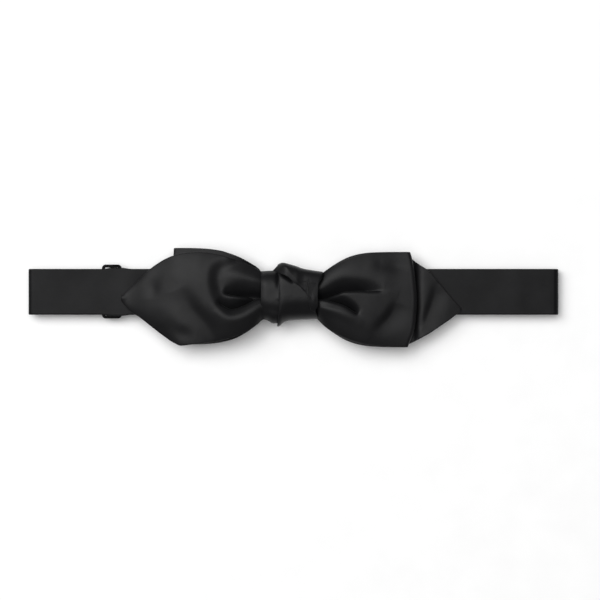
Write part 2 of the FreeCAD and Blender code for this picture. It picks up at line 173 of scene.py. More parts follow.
def hollow(x, y, outline, softness):
    """1 well inside a closed outline, 0 well outside it, eased over softness on both sides."""
    line = curve(outline + outline[:1])
    distance = np.full_like(x, np.inf)
    inside = np.zeros(x.shape, bool)
    for (ax, ay), (bx, by) in zip(line, np.roll(line, -1, axis=0)):
        dx, dy = bx - ax, by - ay
        t = np.clip(((x - ax) * dx + (y - ay) * dy) / max(dx * dx + dy * dy, 1e-9), 0, 1)
        distance = np.minimum(distance, np.hypot(x - ax - t * dx, y - ay - t * dy))
        crosses = (ay > y) != (by > y)
        inside ^= crosses & (x < ax + dx * (y - ay) / (dy if dy else 1e-9))
    return smoothstep(np.where(inside, distance, -distance), -softness, softness)


def softened(grid, rounds=3):
    """The grid's values averaged with their neighbours, edges held."""
    for _ in range(rounds):
        inner = grid[:-2, 1:-1] + grid[2:, 1:-1] + grid[1:-1, :-2] + grid[1:-1, 2:]
        grid = grid.copy()
        grid[1:-1, 1:-1] = 0.5 * grid[1:-1, 1:-1] + inner / 8
    return grid


def ripple(x, y, size, seed):
    """Smooth noise from about -1 to 1 whose waves are about size across."""
    points = zip(np.ravel(x) / size, np.ravel(y) / size)
    values = [noise.noise(Vector((a, b, seed * 7.31))) for a, b in points]
    return np.array(values).reshape(np.shape(x))


# ---- meshes ---------------------------------------------------------------------------------------


def new_object(name, vertices, faces):
    mesh = bpy.data.meshes.new(name)
    mesh.from_pydata((np.asarray(vertices) * MM).tolist(), [], faces)
    mesh.validate()
    mesh.polygons.foreach_set("use_smooth", [True] * len(mesh.polygons))
    obj = bpy.data.objects.new(name, mesh)
    bpy.context.scene.collection.objects.link(obj)
    return obj


def edge_depth(middle, ring, round_ends):
    """Each grid point's distance along the grid to the nearest rounded edge."""
    across = np.cumsum(np.linalg.norm(np.diff(middle, axis=1), axis=2), axis=1)
    across = np.concatenate([np.zeros((len(middle), 1)), across], axis=1)
    depth = np.minimum(across, across[:, -1:] - across)
    if round_ends and not ring:
        along = np.cumsum(np.linalg.norm(np.diff(middle, axis=0), axis=2), axis=0)
        along = np.concatenate([np.zeros((1, middle.shape[1])), along], axis=0)
        depth = np.minimum(depth, np.minimum(along, along[-1:] - along))
    return depth


def cloth(name, middle, thickness=SILK_T, ring=False, round_ends=True):
    """A closed piece of cloth round the mid-surface points middle[i, j], with rounded edges.

    ring joins the last row of points to the first one."""
    rows, columns = middle.shape[:2]
    if ring:
        along = np.roll(middle, -1, axis=0) - np.roll(middle, 1, axis=0)
    else:
        along = np.gradient(middle, axis=0)
    normal = np.cross(along, np.gradient(middle, axis=1))
    normal /= np.linalg.norm(normal, axis=2, keepdims=True)
    radius = thickness / 2
    depth = edge_depth(middle, ring, round_ends)
    rise = radius * np.sqrt(1 - (1 - np.minimum(depth / radius, 1)) ** 2)
    lift = normal * rise[..., None]
    points = list((middle + lift).reshape(-1, 3))
    upper = np.arange(rows * columns).reshape(rows, columns)
    lower = upper.copy()
    under = (middle - lift).reshape(-1, 3)
    for k in np.flatnonzero(rise.ravel() > 1e-6):
        lower.flat[k] = len(points)
        points.append(under[k])
    faces = []
    last = rows if ring else rows - 1
    for i in range(last):
        n = (i + 1) % rows
        for j in range(columns - 1):
            faces.append((upper[i, j], upper[n, j], upper[n, j + 1], upper[i, j + 1]))
            faces.append((lower[i, j], lower[i, j + 1], lower[n, j + 1], lower[n, j]))
    if not ring and not round_ends:
        for i, flip in ((0, 1), (rows - 1, -1)):
            for j in range(columns - 1):
                face = (upper[i, j], upper[i, j + 1], lower[i, j + 1], lower[i, j])
                corners = list(dict.fromkeys(face[::flip]))
                faces.append(tuple(corners))
    return new_object(name, points, [tuple(int(v) for v in f) for f in faces])


# ---- materials ------------------------------------------------------------------------------------


class Nodes:
    """A material's node tree, with short calls to add and link its nodes."""

    def __init__(self, name):
        self.material = bpy.data.materials.new(name)
        self.material.use_nodes = True
        self.tree = self.material.node_tree
        self.shader = self.tree.nodes["Principled BSDF"]
        coordinates = self.tree.nodes.new("ShaderNodeTexCoord")
        scale = self.tree.nodes.new("ShaderNodeMapping")
        scale.inputs["Scale"].default_value = (1 / MM,) * 3
        self.link(coordinates.outputs["Object"], scale.inputs["Vector"])
        self.place = scale.outputs["Vector"]  # in millimetres

    def link(self, a, b):
        self.tree.links.new(a, b)

    def noise(self, size, detail=3.0, stretch=(1, 1, 1), turn=0.0):
        """Noise whose features are about size millimetres across."""
        mapping = self.tree.nodes.new("ShaderNodeMapping")
        mapping.inputs["Scale"].default_value = stretch
        mapping.inputs["Rotation"].default_value = (0, 0, turn)
        self.link(self.place, mapping.inputs["Vector"])
        node = self.tree.nodes.new("ShaderNodeTexNoise")
        node.inputs["Scale"].default_value = 1 / size
        node.inputs["Detail"].default_value = detail
        self.link(mapping.outputs["Vector"], node.inputs["Vector"])
        return node.outputs["Fac"]

    def lines(self, pitch, turn, wobble=0.0):
        """Parallel ridges, pitch millimetres apart, turned about Z."""
        mapping = self.tree.nodes.new("ShaderNodeMapping")
        mapping.inputs["Rotation"].default_value = (0, 0, turn)
        self.link(self.place, mapping.inputs["Vector"])
        node = self.tree.nodes.new("ShaderNodeTexWave")
        node.bands_direction = "X"
        node.inputs["Scale"].default_value = 2 * math.pi / (20 * pitch)
        node.inputs["Distortion"].default_value = wobble
        node.inputs["Detail"].default_value = 1.0
        self.link(mapping.outputs["Vector"], node.inputs["Vector"])
        return node.outputs["Fac"]

    def math(self, operation, a, b):
        node = self.tree.nodes.new("ShaderNodeMath")
        node.operation = operation
        for socket, value in zip(node.inputs, (a, b)):
            if isinstance(value, (int, float)):
                socket.default_value = value
            else:
                self.link(value, socket)
        return node.outputs[0]

    def ramp(self, value, low, high, color_low, color_high):
        node = self.tree.nodes.new("ShaderNodeValToRGB")
        node.color_ramp.elements[0].position = low
        node.color_ramp.elements[0].color = (*color_low, 1)
        node.color_ramp.elements[1].position = high
        node.color_ramp.elements[1].color = (*color_high, 1)
        self.link(value, node.inputs["Fac"])
        return node.outputs["Color"]

    def spread(self, value, low, high):
        """value, from 0 to 1, laid out between low and high."""
        node = self.tree.nodes.new("ShaderNodeMapRange")
        node.inputs["To Min"].default_value = low
        node.inputs["To Max"].default_value = high
        self.link(value, node.inputs["Value"])
        return node.outputs["Result"]

    def bump(self, height, distance_mm, strength, under=None):
        node = self.tree.nodes.new("ShaderNodeBump")
        node.inputs["Strength"].default_value = strength
        node.inputs["Distance"].default_value = distance_mm * MM
        self.link(height, node.inputs["Height"])
        if under is not None:
            self.link(under, node.inputs["Normal"])
        return node.outputs["Normal"]

    def set(self, **values):
        for name, value in values.items():
            self.shader.inputs[name.replace("_", " ")].default_value = value


SATIN_DARK, SATIN_LIGHT = (0.004, 0.004, 0.0044), (0.008, 0.008, 0.0087)


def satin(name, turn, shine):
    """Black satin: long floats that run one way, at the angle turn, with fine slubs and a soft sheen."""
    m = Nodes(name)
    floats = m.lines(0.16, turn, 0.6)
    ties = m.lines(0.42, turn + math.radians(63), 1.5)
    weave = m.math("MULTIPLY", floats, m.spread(ties, 0.55, 1.0))
    slub = m.noise(1.6, 4.0, (1, 6, 1), turn)
    cloud = m.noise(9.0, 3.0)
    tone = m.math("ADD", m.math("MULTIPLY", cloud, 0.7), m.math("MULTIPLY", slub, 0.3))
    m.link(m.ramp(tone, 0.3, 0.7, SATIN_DARK, SATIN_LIGHT), m.shader.inputs["Base Color"])
    m.link(m.spread(tone, 0.46, 0.38), m.shader.inputs["Roughness"])
    coarse = m.bump(slub, 0.02, 0.35)
    m.link(m.bump(weave, 0.012, 0.25, coarse), m.shader.inputs["Normal"])
    m.set(Sheen_Weight=0.02, Sheen_Roughness=0.4, Sheen_Tint=(0.8, 0.82, 0.86, 1))
    m.set(IOR=1.45, Specular_IOR_Level=shine)
    return m.material


def felted(name, dark, light):
    """Brushed interlining: matt, with a fibrous nap."""
    m = Nodes(name)
    fibre = m.noise(0.35, 6.0, (1, 3, 1), 0.6)
    m.link(m.ramp(fibre, 0.3, 0.7, dark, light), m.shader.inputs["Base Color"])
    m.link(m.bump(fibre, 0.06, 0.6), m.shader.inputs["Normal"])
    m.set(Roughness=0.95, Sheen_Weight=0.4)
    return m.material


def sewing_thread(name):
    """Plied black thread: close twist lines across its length."""
    m = Nodes(name)
    twist = m.lines(0.14, math.radians(35))
    color = m.ramp(twist, 0.1, 0.9, (0.008, 0.008, 0.009), (0.03, 0.03, 0.033))
    m.link(color, m.shader.inputs["Base Color"])
    m.link(m.bump(twist, 0.03, 0.7), m.shader.inputs["Normal"])
    m.set(Roughness=0.6, Sheen_Weight=0.2)
    return m.material


def lacquer(name):
    """Black lacquered metal with fine pitting and a little wear."""
    m = Nodes(name)
    grain = m.noise(0.22, 4.0)
    wear = m.noise(1.8, 5.0)
    color = m.ramp(wear, 0.35, 0.8, (0.001, 0.001, 0.0012), (0.004, 0.004, 0.0043))
    m.link(color, m.shader.inputs["Base Color"])
    m.link(m.spread(wear, 0.34, 0.5), m.shader.inputs["Roughness"])
    m.link(m.bump(grain, 0.008, 0.35), m.shader.inputs["Normal"])
    m.set(IOR=1.45, Specular_IOR_Level=0.04)
    return m.material


def table_top(name):
    """A pale matt board with the faintest mottle."""
    m = Nodes(name)
    mottle = m.noise(14.0, 5.0)
    color = m.ramp(mottle, 0.2, 0.8, (0.90, 0.90, 0.90), (0.94, 0.94, 0.94))
    m.link(color, m.shader.inputs["Base Color"])
    m.link(m.bump(mottle, 0.02, 0.2), m.shader.inputs["Normal"])
    m.set(Roughness=0.9)
    return m.material


SATIN = satin("bow_satin", math.radians(8), 0.168)
BAND_SATIN = satin("band_satin", math.radians(90), 0.098)
LINING = felted("brushed_interlining", (0.05, 0.05, 0.052), (0.14, 0.14, 0.145))
THREAD = sewing_thread("black_thread")
LACQUER = lacquer("black_lacquer")


def dress(obj, material):
    obj.data.materials.clear()
    obj.data.materials.append(material)
    return obj


# ---- the bow's four silk pieces -------------------------------------------------------------------


def silk_piece(name, middle):
    """One silk sleeve and the interlining inside it."""
    silk = dress(cloth(name + "_silk", middle), SATIN)
    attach(silk, "bow")
    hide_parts(name)
    lining = dress(
        cloth(name + "_lining", inset(middle, LINING_INSET), LINING_T), LINING
    )
    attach(lining, "bow")
    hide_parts(name + "_interlining")


def inset(middle, amount):
    """The grid with its points pulled in along it, so that it stops amount short of every edge."""

    def pulled(grid):
        steps = np.linalg.norm(np.diff(grid, axis=0), axis=2)
        s = np.concatenate([np.zeros((1, grid.shape[1])), np.cumsum(steps, axis=0)])
        result = np.empty_like(grid)
        for j in range(grid.shape[1]):
            total = s[-1, j]
            cut = min(amount, 0.45 * total)
            at = cut + (total - 2 * cut) * s[:, j] / total
            for k in range(3):
                result[:, j, k] = np.interp(at, s[:, j], grid[:, j, k])
        return result

    narrowed = np.swapaxes(pulled(np.swapaxes(middle, 0, 1)), 0, 1)
    return pulled(narrowed)


LEFT_INNER, RIGHT_INNER = -10.4, 8.4  # where the silk ends, inside the knot
LEFT_TIP, LEFT_TIP_END = -64.6, -60.0  # the left blade's point, where its grid is closer
RIGHT_TIP, RIGHT_TIP_START = 62.9, 40.0  # the right blade's point, and where its grid gets closer
DIMPLE_DEPTH, DIMPLE_SOFTNESS = 1.5, 2.7
WING_RIPPLE = 0.05  # the height of the wings' slight unevenness
POCKET_TUCK = 0.5  # how far a pocket's bottom lies under its lower lip, as a share of its depth
CROWN_POWER = 2.8  # 2 would round a wing's section evenly, and more keeps it level nearer to its edges
SETTLED_ROW = -8  # the row of a loop's front layer whose height its fold takes
FOLD_POWER = 0.7  # 1 would make a loop's fold round

left_blade_low = through(
    [
        (-64.6, -0.5), (-63.6, -2.3), (-60.8, -5.2), (-57.6, -7.3), (-51.9, -11.7), (-48.2, -14.5),
        (-44.4, -17.0), (-42.0, -17.9), (-38.8, -17.6), (-33.2, -16.9), (-27.6, -16.1),
        (-23.8, -15.1), (-20.1, -13.8), (-16.3, -11.9), (-13.2, -9.6), (-12.0, -8.4), (-10.4, -7.8),
    ]
)
left_blade_high = through(
    [
        (-64.6, 0.3), (-62.0, 2.7), (-54.2, 10.2), (-51.6, 12.2), (-47.8, 14.5), (-44.6, 15.8),
        (-40.0, 16.7), (-35.0, 17.0), (-29.4, 16.4), (-23.8, 15.0), (-16.3, 12.1), (-13.2, 10.4),
        (-12.0, 9.4), (-10.4, 8.8),
    ]
)
left_blade_ridge = through(
    [
        (-64.6, 6.9), (-60.0, 7.8), (-54.0, 9.5), (-48.0, 11.2), (-42.0, 12.6), (-34.0, 13.8),
        (-26.0, 14.0), (-20.0, 13.8), (-15.0, 13.3), (-12.6, 12.9), (-10.4, 12.5),
    ]
)
left_low_drop = through(
    [(-64.6, 0.2), (-55.0, 0.9), (-45.0, 1.8), (-30.0, 1.9), (-18.0, 1.8), (-14.5, 2.2), (-12.0, 3.0)]
)
left_high_drop = through(
    [(-64.6, 0.2), (-55.0, 0.9), (-45.0, 1.6), (-30.0, 2.0), (-18.0, 1.3), (-12.0, 1.2)]
)
LEFT_POCKETS = [
    # the upper pocket, which runs into the knot
    (1.5, [
        (-26.0, 2.4, 1.0, 0.6, 0.0), (-24.6, 2.0, 1.3, 0.6, -2.2), (-22.0, 1.7, 1.7, 0.6, -4.4),
        (-19.0, 1.5, 1.8, 0.7, -5.2), (-15.5, 1.4, 1.4, 0.7, -5.0), (-12.4, 1.0, 1.1, 0.7, -4.6),
        (-9.5, 0.8, 1.1, 0.7, -4.4),
    ]),
    # the lower pocket
    (1.5, [
        (-28.4, -0.6, 1.0, 0.8, 0.0), (-26.8, -1.8, 1.2, 0.7, -1.8), (-23.6, -3.2, 1.4, 0.7, -3.4),
        (-21.2, -2.9, 1.4, 0.7, -3.8), (-18.8, -2.0, 1.3, 0.7, -3.8), (-16.6, -0.9, 1.4, 0.7, -3.8),
        (-14.5, 0.2, 1.6, 0.7, -3.9), (-12.6, 0.7, 1.5, 0.7, -3.9), (-9.5, 0.7, 1.5, 0.7, -3.9),
    ]),
]
LEFT_CREASES = [
    # the rolled rim under them
    (2.0, [
        (-28.5, -3.4, 1.5, 2.0, 0.1), (-26.6, -5.2, 1.6, 2.6, 0.4), (-23.4, -7.2, 1.8, 3.6, 0.5),
        (-19.3, -6.4, 1.8, 3.4, 0.5), (-15.0, -4.2, 1.6, 2.8, 0.35), (-11.5, -2.2, 1.2, 2.2, 0.2),
    ]),
    # the upper puff, between the dimple's rim and the upper pocket
    (2.0, [
        (-26.0, 8.0, 2.5, 2.5, 0.2), (-22.0, 8.6, 3.2, 3.0, 0.7), (-17.0, 7.6, 3.0, 2.4, 0.7),
        (-12.0, 6.4, 2.6, 2.0, 0.7), (-9.0, 6.0, 2.6, 2.0, 0.7),
    ]),
    # the long soft fold down to the lower edge
    (2.0, [
        (-42.5, 3.4, 3.6, 4.6, -0.1), (-40.6, 0.0, 3.8, 5.0, -0.6), (-38.0, -4.2, 3.8, 5.2, -1.1),
        (-34.9, -8.0, 3.8, 5.0, -1.4), (-31.9, -11.7, 4.0, 4.6, -1.3), (-29.9, -16.0, 4.0, 4.2, -0.9),
    ]),
    # the dip behind the point
    (2.0, [
        (-48.5, 12.5, 2.8, 2.8, -0.1), (-50.8, 7.6, 2.8, 2.8, -0.3), (-52.4, 3.4, 2.6, 2.6, -0.5),
        (-52.2, -0.5, 2.5, 2.5, -0.1),
    ]),
    # the turned-up point
    (2.0, [(-65.5, 0.2, 1.2, 1.2, 0.5), (-64.0, 0.0, 1.2, 1.2, 0.4), (-62.0, 0.0, 1.2, 1.2, 0.0)]),
    # the hollow above the lower corner
    (2.0, [
        (-45.5, -11.5, 3.0, 3.0, -0.2), (-41.0, -13.5, 3.0, 3.0, -0.6), (-36.5, -15.0, 3.0, 3.0, -0.3),
    ]),
]
LEFT_DIMPLE = [
    (-9.0, -1.0), (-12.6, -1.6), (-15.5, -3.0), (-19.3, -5.0), (-23.4, -5.7), (-26.4, -4.0), (-28.1, -1.2),
    (-29.3, 2.1), (-30.0, 6.0), (-29.6, 10.0), (-27.6, 12.4), (-24.0, 13.4), (-20.0, 16.5), (-9.0, 20.0),
]


def crowned(x, y, low, high, ridge, low_drop, high_drop):
    """A wing's height before it is creased: highest along its middle, lower by its drops at its edges."""
    t = np.clip((y - low(x)) / np.maximum(high(x) - low(x), 0.1), 0, 1)
    return ridge(x) - np.where(t > 0.5, high_drop(x), low_drop(x)) * np.abs(2 * t - 1) ** CROWN_POWER


def creased(x, y, z, pockets, creases, lowest):
    """Adds soft folds to a wing, and pockets whose bottoms are tucked under their lower lips."""
    depth = np.minimum.reduce([folds(x, y, [pocket]) for pocket in pockets])
    z = softened(np.maximum(z + folds(x, y, creases) + depth, lowest), 2)
    return np.dstack([x, y + POCKET_TUCK * depth, z])


def column_grid(x, low, high, count):
    """x and y grids between two edges that are functions of x."""
    t = crowded(count, 0.5)
    xs = np.repeat(x[:, None], count, axis=1)
    ys = low(x)[:, None] * (1 - t) + high(x)[:, None] * t
    return xs, ys


def left_crown(x, y):
    edges = left_blade_low, left_blade_high
    return crowned(x, y, *edges, left_blade_ridge, left_low_drop, left_high_drop)


def left_front_blade():
    tip = np.linspace(LEFT_TIP, LEFT_TIP_END, 24)[:-1]
    x = np.concatenate([tip, np.linspace(LEFT_TIP_END, LEFT_INNER, 120)])
    xs, ys = column_grid(x, left_blade_low, left_blade_high, 124)
    dimple = DIMPLE_DEPTH * hollow(xs, ys, LEFT_DIMPLE, DIMPLE_SOFTNESS)
    zs = left_crown(xs, ys) - dimple + WING_RIPPLE * ripple(xs, ys, 5.0, 1)
    lowest = BOW_BACK + 2.0 * LAYER * smoothstep(xs, -52.0, -46.0) + SILK_T / 2
    return creased(xs, ys, zs, LEFT_POCKETS, LEFT_CREASES, lowest)


right_loop_edge = through(  # the right loop's fold, as x at a y
    [(-18.7, 42.3), (-10.2, 45.1), (-0.9, 45.75), (6.6, 45.2), (14.1, 44.1), (17.2, 43.2)]
)
right_low = through(
    [
        (8.4, -7.2), (9.7, -8.6), (11.8, -10.6), (15.6, -12.9), (19.3, -14.8), (23.1, -16.2),
        (26.8, -17.1), (32.4, -17.8), (38.1, -18.2), (46.0, -18.8),
    ]
)
right_high = through(
    [
        (8.4, 7.6), (10.0, 8.6), (13.7, 10.9), (17.4, 12.9), (21.2, 14.6), (24.9, 15.7),
        (28.7, 16.4), (34.0, 16.7), (46.0, 17.2),
    ]
)
right_ridge = through(
    [
        (8.4, 11.8), (10.0, 12.3), (14.0, 12.9), (20.0, 13.3), (27.0, 13.0), (34.0, 12.3), (40.0, 11.5),
        (46.0, 10.9),
    ]
)
right_low_drop = through([(8.4, 3.2), (14.0, 2.4), (20.0, 2.0), (32.0, 1.7), (46.0, 0.9)])
right_high_drop = through([(8.4, 2.4), (14.0, 2.0), (20.0, 2.0), (32.0, 1.8), (46.0, 0.9)])
RIGHT_POCKETS = [
    # the pocket's upper tongue
    (1.5, [
        (7.5, 0.8, 1.0, 0.8, -3.4), (11.5, 1.1, 1.4, 0.8, -4.6), (15.6, 2.3, 2.1, 0.8, -5.2),
        (18.7, 3.4, 2.4, 0.7, -5.2), (23.4, 3.6, 2.3, 0.7, -3.8), (27.6, 3.3, 2.2, 0.7, -2.4),
        (33.5, 2.8, 2.0, 0.8, -0.2),
    ]),
    # its lower tongue
    (1.5, [
        (7.5, 0.4, 0.9, 0.7, -2.6), (11.8, 0.1, 1.2, 0.7, -3.4), (15.6, -0.8, 1.3, 0.7, -3.6),
        (18.7, -1.8, 1.2, 0.7, -3.6), (21.2, -3.2, 1.2, 0.7, -3.2), (22.9, -4.6, 1.1, 0.7, -2.2),
        (24.0, -6.0, 1.0, 0.7, -0.2),
    ]),
]
RIGHT_CREASES = [
    # the slack fold towards the lower corner
    (2.0, [
        (38.2, -1.6, 4.5, 1.6, -0.1), (37.2, -4.6, 4.5, 1.7, -0.6), (35.4, -7.4, 4.5, 1.7, -0.85),
        (33.0, -10.2, 4.5, 1.9, -0.6), (30.0, -13.4, 4.5, 2.2, -0.1),
    ]),
    # the dip under the upper corner
    (2.0, [(33.0, 12.4, 2.6, 2.6, -0.3), (38.0, 11.8, 2.8, 2.8, -0.6), (43.0, 11.0, 2.6, 2.6, -0.2)]),
    # the roll along the lower edge near the knot
    (2.0, [
        (10.0, -3.8, 1.2, 1.8, 0.3), (14.0, -4.4, 1.4, 2.0, 0.6), (19.0, -6.0, 1.6, 2.2, 0.5),
        (24.0, -8.8, 1.8, 2.4, 0.2),
    ]),
]


def loop_grid(inner, edge_x, low, high, front, back, rows=110, turn_rows=22, columns=120):
    """The mid-surface of a loop: out along the front, round its fold and back along the rear.

    front gives a grid of points over x and y, and back the rear layer's height; edge_x gives the fold's
    x at a y."""
    side = 1 if edge_x(0.0) > inner else -1
    t = crowded(columns, 0.5)
    y_edge = low(edge_x(low(edge_x(0.0)))) * (1 - t) + high(edge_x(high(edge_x(0.0)))) * t
    reach = edge_x(y_edge)
    s = np.linspace(0, 1, rows)[:, None]

    def spread(end):
        xs = inner + s * (end - inner)[None, :]
        ease = smoothstep(s, 0.0, 1.0)
        return xs, (low(xs) * (1 - t) + high(xs) * t) * (1 - ease) + y_edge[None, :] * ease

    height = front(*spread(reach))[SETTLED_ROW, :, 2]
    radius = (height - back) / 2
    start = reach - side * radius
    xs, ys = spread(start)
    layer = front(xs, ys)
    layer[..., 2] += (height - layer[-1, :, 2])[None, :] * smoothstep(s, 0.8, 1.0)
    angle = np.linspace(0, np.pi, turn_rows + 2)[1:-1][:, None]
    turn_x = start + side * radius * np.sin(angle) ** FOLD_POWER
    turn_z = (height + back) / 2 + radius * np.sign(np.cos(angle)) * np.abs(np.cos(angle)) ** FOLD_POWER
    turn = np.dstack([turn_x, np.repeat(y_edge[None, :], turn_rows, axis=0), turn_z])
    rear = np.dstack([xs[::-1], ys[::-1], np.full_like(xs, back)])
    return np.concatenate([layer, turn, rear])


def right_front_loop():
    back = BOW_BACK + 1.5 * LAYER + 0.1

    def front(x, y):
        z = crowned(x, y, right_low, right_high, right_ridge, right_low_drop, right_high_drop)
        z = z + WING_RIPPLE * ripple(x, y, 5.0, 2)
        return creased(x, y, z, RIGHT_POCKETS, RIGHT_CREASES, back + LAYER)

    return loop_grid(RIGHT_INNER, right_loop_edge, right_low, right_high, front, back)


PRESSED_UNDER = [  # where the left loop is pressed down under the blade
    (2.0, [(-44.0, -9.0, 3.5, 9.0, 1.0), (-32.0, -10.0, 4.0, 9.0, 1.8), (-9.0, 0.0, 13.0, 13.0, 9.0)]),
]


def left_rear_loop():
    low = through(
        [
            (-49.0, -17.4), (-42.2, -17.5), (-33.2, -16.5), (-23.8, -14.8), (-16.3, -11.5),
            (-12.0, -7.9), (-10.4, -7.2),
        ]
    )
    high = through(
        [
            (-49.0, 18.75), (-44.4, 18.6), (-36.9, 17.9), (-33.2, 17.5), (-27.6, 16.6), (-23.8, 15.4),
            (-20.1, 14.2), (-16.3, 12.6), (-13.0, 10.8), (-12.0, 9.6), (-10.4, 8.8),
        ]
    )
    edge = through(
        [(-17.6, -41.8), (-9.0, -45.2), (-0.5, -46.4), (9.0, -45.8), (14.5, -44.7), (18.7, -44.4)]
    )
    back = BOW_BACK + SILK_T / 2

    def front(x, y):
        """Close under the blade where it shows above it, and pressed flat under the pockets."""
        drop = 1.1 + 1.1 * smoothstep(-x, 30.0, 44.0)
        drop += folds(x, y, PRESSED_UNDER)
        z = np.maximum(left_crown(x, y) - drop, BOW_BACK + 1.4 * LAYER)
        return np.dstack([x, y, softened(z, 4)])

    return loop_grid(LEFT_INNER, edge, low, high, front, back)


RIGHT_BLADE_FOLDS = [
    (2.0, [
        (53.6, 4.4, 4.0, 1.6, -0.2), (52.6, 0.6, 4.0, 1.6, -0.5), (50.8, -5.0, 4.0, 1.6, -0.6),
        (48.8, -10.5, 4.0, 1.8, -0.4),
    ]),
]


def right_rear_blade():
    low = through(
        [
            (8.4, -7.0), (9.7, -8.2), (15.6, -12.4), (26.8, -16.6), (36.0, -17.8), (41.5, -17.9),
            (43.7, -17.2), (47.4, -15.3), (51.2, -13.2), (54.9, -10.7), (58.7, -8.1), (61.3, -6.1),
            (62.9, -4.9),
        ]
    )
    high = through(
        [
            (8.4, 7.4), (10.0, 8.2), (17.4, 12.2), (29.0, 15.6), (40.0, 16.0), (44.1, 14.7), (45.6, 13.5),
            (47.4, 12.2), (49.7, 10.7), (54.6, 5.4), (57.2, 2.3), (60.2, -1.2), (62.9, -4.1),
        ]
    )
    hidden = np.linspace(RIGHT_INNER, RIGHT_TIP_START, 50)[:-1]
    x = np.concatenate([hidden, np.linspace(RIGHT_TIP_START, RIGHT_TIP, 70)])
    xs, ys = column_grid(x, low, high, 90)
    level = through(
        [
            (8.4, 0.0), (42.5, 0.0), (45.4, 0.3), (46.8, 1.3), (48.6, 1.9), (52.0, 1.7), (57.0, 1.1),
            (62.9, 0.2),
        ]
    )
    zs = BOW_BACK + SILK_T / 2 + level(xs)
    shown = smoothstep(xs, 42.0, 46.0)
    zs += shown * (folds(xs, ys, RIGHT_BLADE_FOLDS) + WING_RIPPLE * ripple(xs, ys, 4.0, 3))
    return np.dstack([xs, ys, softened(zs, 3)])


def make_bow():
    silk_piece("right_rear_blade", right_rear_blade())
    silk_piece(
        "right_front_loop", right_front_loop()
    )
    silk_piece("left_rear_loop", left_rear_loop())
    silk_piece(
        "left_front_blade", left_front_blade()
    )


# ---- the knot -------------------------------------------------------------------------------------

TURN_T = 0.7
FLAP_T = 0.45
SQUARE_TOP, SQUARE_BOTTOM = 3.8, 2.2  # the knot's section; 2 would make it an ellipse
KNOT_WIDEST = 0.3  # where the section is widest, as a share of its depth
COLLAR_LEFT, COLLAR_RIGHT = -12.2, -1.8  # the inner turn's edges
COLLAR_INSIDE = 1.3  # how much smaller than the knot's section the inner turn is
FLAP_RIGHT, FLAP_OVERHANG = 9.6, 0.25  # the flap's right edge as first laid out, and past the turn's
FLAP_END = 1.45  # how far behind the top of the knot the flap goes, in radians
FACE_LOW, FACE_HIGH = 8.0, 12.0  # folds grow over this height, so that only the knot's face has them
KNOT_RIPPLE = 0.04

knot_top = through(
    [
        (-12.4, 10.8), (-10.0, 11.0), (-7.5, 11.1), (-6.0, 10.9), (-3.3, 11.2), (2.2, 10.5), (7.2, 9.7),
        (10.8, 9.2),
    ]
)
knot_bottom = through(
    [
        (-12.4, -9.1), (-10.0, -9.4), (-7.4, -10.6), (-5.6, -10.4), (-3.8, -8.9), (-1.0, -8.1),
        (2.0, -7.9), (10.8, -7.5),
    ]
)
knot_front = through([(-12.4, 14.9), (-6.0, 14.9), (-3.0, 15.0), (4.0, 14.9), (10.8, 14.1)])
turn_left = through([(-10.4, -7.0), (-8.4, -6.2), (-6.0, -5.8), (0.0, -5.4), (8.0, -5.4), (11.0, -5.8)])
turn_right = through(
    [
        (-10.0, 9.4), (-6.9, 9.0), (-4.8, 8.1), (-2.7, 8.9), (0.7, 8.8), (2.6, 8.9), (5.9, 9.4),
        (8.9, 10.6), (11.0, 10.9),
    ]
)
flap_edge = through(  # the free edge of the last turn, as it crosses the knot's face
    [
        (-8.2, 10.1), (-6.0, 9.4), (-4.9, 8.9), (-3.3, 8.3), (-1.65, 7.4), (-0.4, 6.2), (1.2, 5.1),
        (2.4, 4.3), (3.4, 3.3), (4.8, 1.5), (5.7, -0.5), (6.3, -2.7), (7.6, -4.6), (9.8, -5.6),
    ]
)
flap_gap = through(  # how far the flap lies over the turn under it
    [(-8.0, 0.65), (1.0, 0.6), (2.6, 0.35), (4.0, 0.2), (10.0, 0.2)]
)
flap_swell = through(  # how much its top stands out in Y
    [
        (-8.0, 0.1), (-6.0, 0.6), (-4.4, 1.1), (-3.3, 0.95), (-1.5, 0.6), (0.5, 0.35), (3.0, 0.15),
        (10.0, 0.1),
    ]
)
flap_droop = through(  # how far its left end is lowered
    [(-8.2, 3.0), (-7.2, 2.2), (-6.3, 1.5), (-5.2, 0.85), (-3.8, 0.3), (-2.5, 0.0), (10.0, 0.0)]
)
flap_square = through(  # the power of its section, as SQUARE_TOP is the knot's
    [(-8.0, 5.5), (-6.0, 6.0), (-4.5, 6.5), (-3.0, 7.0), (0.0, 5.5), (10.0, 5.0)]
)

COLLAR_FOLDS = [
    # the left edge, pressed down
    (2.0, [(-12.8, 11.0, 1.6, 1.6, -0.7), (-12.8, 2.0, 1.6, 1.6, -0.7), (-12.8, -9.0, 1.6, 1.6, -0.5)]),
    # the shaded gap beside the next turn
    (2.0, [
        (-5.6, 11.0, 0.9, 0.9, -0.7), (-5.6, 7.0, 0.9, 0.9, -0.7), (-5.6, 3.0, 0.9, 0.9, -0.1),
        (-5.6, 0.0, 0.9, 0.9, 0.2),
    ]),
    # sloping away towards the top
    (2.0, [(-14.0, 12.0, 4.5, 4.5, -1.3), (-9.0, 12.0, 4.5, 4.5, -1.3), (-4.0, 12.0, 4.5, 4.5, -1.3)]),
    # a pinch across the lower part
    (2.0, [(-12.5, -4.2, 1.6, 1.6, -0.3), (-9.0, -4.4, 1.6, 1.6, -0.3), (-5.5, -4.8, 1.6, 1.6, -0.3)]),
]
